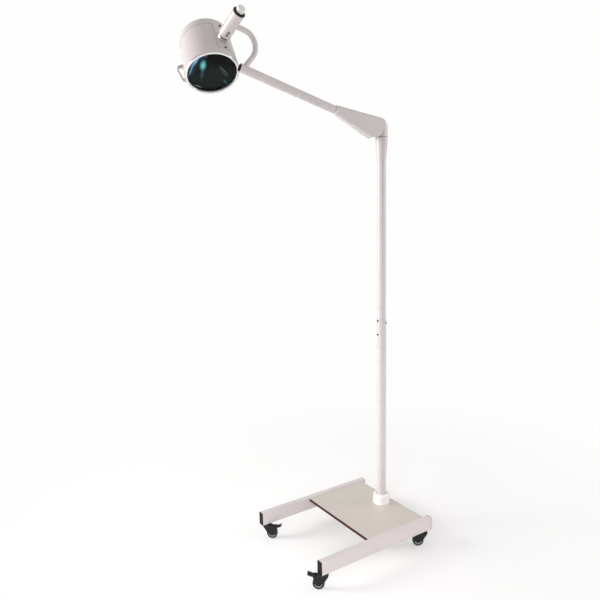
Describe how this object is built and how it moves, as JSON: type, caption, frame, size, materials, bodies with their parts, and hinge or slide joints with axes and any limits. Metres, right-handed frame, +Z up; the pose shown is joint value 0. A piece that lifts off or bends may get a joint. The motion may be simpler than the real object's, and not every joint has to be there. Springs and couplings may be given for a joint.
{
  "type": "mobile surgical light",
  "caption": "Wheeled surgical light: two-rail base, upright column, tilting arm with tapered cover, hooked tube and round reflector head on a swivel barrel.",
  "frame": {"origin": "floor level on the column's vertical axis", "axes": "+Z up along the column; the arm reaches towards -Y at rest; +X is the side of the right rail, towards which the swivel barrel points"},
  "size_m": [0.5498, 0.9611, 2.2841],
  "materials": {
    "paint": "warm light grey-white gloss powder coat",
    "black_plastic": "moulded black plastic",
    "maroon_trim": "dark red edge strip",
    "tyre_rubber": "grey-black tread with a grey hub",
    "zinc_steel": "zinc-plated steel",
    "black_screw": "black oxide screws",
    "spring_steel": "oiled spring steel",
    "bronze": "sintered bronze",
    "nylon": "dark nylon washer",
    "chrome": "bright plated metal",
    "knob_white": "white moulded plastic",
    "seal": "black gasket",
    "lens": "heat-filtering dark glass",
    "bulb": "clear quartz capsule",
    "dichroic": "cold-mirror reflector",
    "ceramic": "white ceramic",
    "transformer_case": "cast case"
  },
  "bodies": {
    "base": {"left_rail": "paint", "right_rail": "paint", "rail_end_caps": "black_plastic", "base_plate": "paint", "plate_edge_trim": "maroon_trim", "plate_brackets": "zinc_steel", "bracket_bolts": "zinc_steel", "column_collar": "paint", "collar_bolts": "zinc_steel", "lower_column": "paint", "upper_column": "paint", "column_screws": "black_screw", "top_socket": "paint", "swivel_bush": "bronze", "caster_stems": "zinc_steel"},
    "elbow": {"elbow_knuckle": "paint", "thrust_washer": "nylon", "elbow_pin": "zinc_steel"},
    "arm": {"pivot_bracket": "zinc_steel", "arm_tube": "paint", "arm_cover_left": "paint", "arm_cover_right": "paint", "cover_screws": "zinc_steel", "socket_ring": "knob_white", "balance_spring": "spring_steel", "balance_rod": "zinc_steel", "arm_end_plug": "black_plastic", "yoke_tube": "paint"},
    "barrel": {"tilt_barrel": "paint", "barrel_screws": "black_screw", "barrel_bushes": "bronze", "barrel_end_ring": "black_plastic"},
    "head": {"head_spindle": "zinc_steel", "head_washer": "nylon", "saddle_plate": "paint", "saddle_screws": "black_screw", "drum_housing": "paint", "rear_cover": "paint", "bezel_ring": "chrome", "glass_gasket": "seal", "front_glass": "lens", "reflector": "dichroic", "lamp_bracket": "zinc_steel", "lamp_holder": "ceramic", "halogen_bulb": "bulb", "transformer": "transformer_case", "head_handle": "chrome", "handle_screws": "zinc_steel"},
    "knob": {"tension_knob": "knob_white"},
    "caster_front_left": {"caster_fork_front_left": "black_plastic"},
    "wheel_front_left": {"caster_wheel_front_left": "tyre_rubber"},
    "pedal_front_left": {"brake_pedal_front_left": "black_plastic"},
    "caster_front_right": {"caster_fork_front_right": "black_plastic"},
    "wheel_front_right": {"caster_wheel_front_right": "tyre_rubber"},
    "pedal_front_right": {"brake_pedal_front_right": "black_plastic"},
    "caster_back_left": {"caster_fork_back_left": "black_plastic"},
    "wheel_back_left": {"caster_wheel_back_left": "tyre_rubber"},
    "caster_back_right": {"caster_fork_back_right": "black_plastic"},
    "wheel_back_right": {"caster_wheel_back_right": "tyre_rubber"}
  },
  "joints": [
    {"name": "elbow_swivel", "type": "hinge", "parent": "base", "child": "elbow", "pos_m": [0, 0, 1.858], "axis": [0, 0, 1], "range_deg": [-170, 170]},
    {"name": "arm_tilt", "type": "hinge", "parent": "elbow", "child": "arm", "pos_m": [0, -0.027, 1.8931], "axis": [-1, 0, 0], "range_deg": [-45, 18]},
    {"name": "barrel_swivel", "type": "hinge", "parent": "arm", "child": "barrel", "pos_m": [0, -0.72687, 2.23213], "axis": [0, 0.9627, -0.2706], "range_deg": [-5, 180]},
    {"name": "head_tilt", "type": "hinge", "parent": "barrel", "child": "head", "pos_m": [0, -0.72687, 2.23213], "axis": [0.829, 0.1513, 0.5383], "range_deg": [-150, 150]},
    {"name": "knob_turn", "type": "hinge", "parent": "head", "child": "knob", "pos_m": [0.05969, -0.71597, 2.27089], "axis": [0.829, 0.1513, 0.5383], "range_deg": [-90, 180]},
    {"name": "caster_swivel_front_left", "type": "hinge", "parent": "base", "child": "caster_front_left", "pos_m": [-0.24, -0.512, 0.072], "axis": [0, 0, 1], "continuous": true},
    {"name": "wheel_spin_front_left", "type": "hinge", "parent": "caster_front_left", "child": "wheel_front_left", "pos_m": [-0.2202, -0.4922, 0.025], "axis": [-0.7071, 0.7071, 0], "continuous": true},
    {"name": "brake_press_front_left", "type": "hinge", "parent": "caster_front_left", "child": "pedal_front_left", "pos_m": [-0.20747, -0.47947, 0.057], "axis": [-0.7071, 0.7071, 0], "range_deg": [0, 14]},
    {"name": "caster_swivel_front_right", "type": "hinge", "parent": "base", "child": "caster_front_right", "pos_m": [0.24, -0.512, 0.072], "axis": [0, 0, 1], "continuous": true},
    {"name": "wheel_spin_front_right", "type": "hinge", "parent": "caster_front_right", "child": "wheel_front_right", "pos_m": [0.222, -0.53345, 0.025], "axis": [0.766, -0.6428, 0], "continuous": true},
    {"name": "brake_press_front_right", "type": "hinge", "parent": "caster_front_right", "child": "pedal_front_right", "pos_m": [0.21043, -0.54724, 0.057], "axis": [0.766, -0.6428, 0], "range_deg": [0, 14]},
    {"name": "caster_swivel_back_left", "type": "hinge", "parent": "base", "child": "caster_back_left", "pos_m": [-0.24, 0.05, 0.072], "axis": [0, 0, 1], "continuous": true},
    {"name": "wheel_spin_back_left", "type": "hinge", "parent": "caster_back_left", "child": "wheel_back_left", "pos_m": [-0.26425, 0.064, 0.025], "axis": [-0.5, -0.866, 0], "continuous": true},
    {"name": "caster_swivel_back_right", "type": "hinge", "parent": "base", "child": "caster_back_right", "pos_m": [0.24, 0.05, 0.072], "axis": [0, 0, 1], "continuous": true},
    {"name": "wheel_spin_back_right", "type": "hinge", "parent": "caster_back_right", "child": "wheel_back_right", "pos_m": [0.22516, 0.02626, 0.025], "axis": [0.848, -0.5299, 0], "continuous": true}
  ]
}
